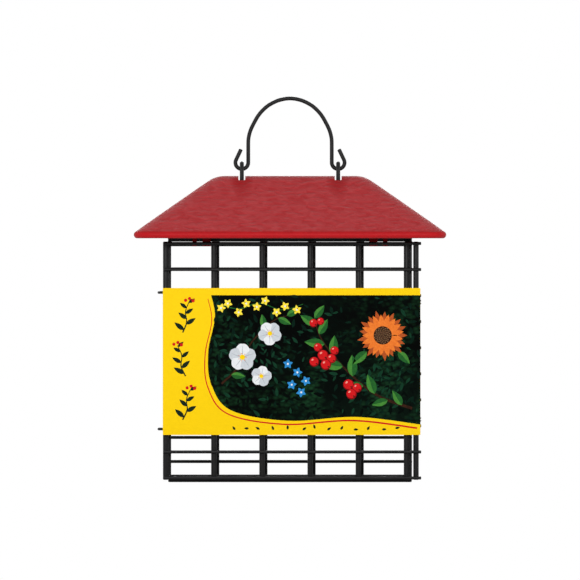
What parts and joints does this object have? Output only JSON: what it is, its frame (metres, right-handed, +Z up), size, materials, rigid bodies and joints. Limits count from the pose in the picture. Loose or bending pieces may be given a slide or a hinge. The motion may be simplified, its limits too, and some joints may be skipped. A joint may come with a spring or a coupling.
{
  "type": "suet feeder",
  "caption": "Hanging bird feeder for suet cakes: a welded wire mesh cage with a swinging front door and wire latch, under a sloped sheet metal roof with a wire bail.",
  "frame": {"origin": "under the middle of the roof, on the plane that the bottom rails stand on", "axes": "+Z up; the door and the card face -Y; +X is to the right seen from the front, on the latch side"},
  "size_m": [0.1648, 0.116, 0.2032],
  "materials": {
    "black_wire": "satin coating over steel wire",
    "red_roof": "hammered satin paint on sheet steel",
    "red_clip": "satin paint on sheet steel",
    "printed_card": "printed, semi-gloss"
  },
  "bodies": {
    "cage": {"front_bottom_rail": "black_wire", "rear_bottom_rail": "black_wire", "front_top_rail": "black_wire", "rear_top_rail": "black_wire", "rear_panel": "black_wire", "left_side_panel": "black_wire", "right_side_panel": "black_wire", "floor_panel": "black_wire", "top_panel": "black_wire", "roof_shell": "red_roof", "roof_clip_front_left": "red_clip", "roof_clip_front_right": "red_clip", "roof_clip_rear_left": "red_clip", "roof_clip_rear_right": "red_clip", "eyelet_left": "black_wire", "eyelet_right": "black_wire"},
    "door": {"door_panel": "black_wire", "hinge_ring_lower": "black_wire", "hinge_ring_upper": "black_wire", "display_card": "printed_card"},
    "latch": {"latch_wire": "black_wire"},
    "bail": {"hanging_bail": "black_wire"}
  },
  "joints": [
    {"name": "door_swing", "type": "hinge", "parent": "cage", "child": "door", "pos_m": [-0.06495, -0.03932, 0.06395], "axis": [0, 0, -1], "range_deg": [0, 135]},
    {"name": "latch_swing", "type": "hinge", "parent": "door", "child": "latch", "pos_m": [0.06645, -0.04115, 0.06395], "axis": [0, 0, -1], "range_deg": [0, 90]},
    {"name": "bail_swing", "type": "hinge", "parent": "cage", "child": "bail", "pos_m": [0, 0, 0.16548], "axis": [1, 0, 0], "range_deg": [-115, 115]}
  ]
}
